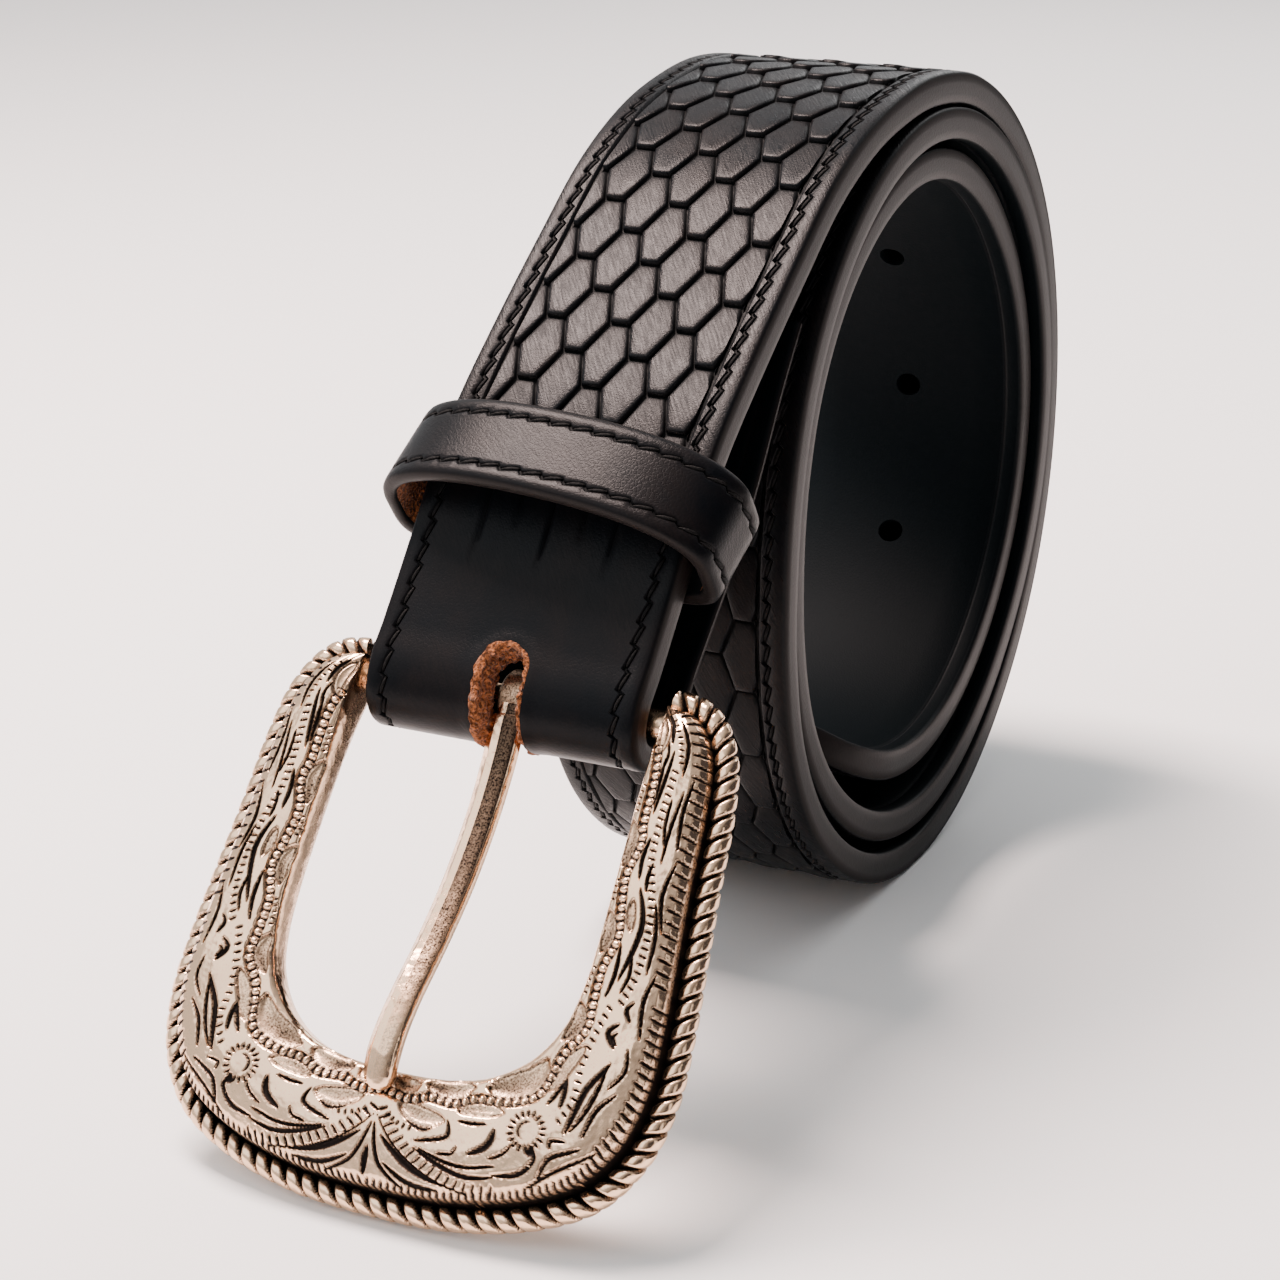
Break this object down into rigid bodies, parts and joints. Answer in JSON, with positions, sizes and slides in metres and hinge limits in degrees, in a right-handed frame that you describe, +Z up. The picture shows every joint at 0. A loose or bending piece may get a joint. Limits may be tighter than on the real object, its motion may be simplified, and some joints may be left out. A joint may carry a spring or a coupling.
{
  "type": "leather belt, rolled up",
  "caption": "Black leather belt with pressed snakeskin scales, rolled up on its edge, with an engraved rope-edge buckle, its prong and a keeper loop.",
  "frame": {"origin": "middle of the footprint's box, on the surface that the rolled belt stands on", "axes": "+Z up, +Y from the buckle to the back of the coil, +X across the strap"},
  "size_m": [0.071, 0.1842, 0.1186],
  "materials": {
    "black_leather": "semi-gloss, pressed scales",
    "raw_leather": "matt suede",
    "black_thread": "waxed",
    "nickel_silver": "polished, black in the engraving"
  },
  "bodies": {
    "strap": {"strap": "black_leather", "keeper": "black_leather"},
    "buckle_frame": {"buckle_frame": "nickel_silver"},
    "prong": {"prong": "nickel_silver"}
  },
  "joints": [
    {"name": "buckle_swing", "type": "hinge", "parent": "strap", "child": "buckle_frame", "pos_m": [0, -0.05016, 0.05231], "axis": [1, 0, 0], "range_deg": [-25, 60]},
    {"name": "prong_lift", "type": "hinge", "parent": "buckle_frame", "child": "prong", "pos_m": [0, -0.05016, 0.05231], "axis": [-1, 0, 0], "range_deg": [0, 62]}
  ]
}
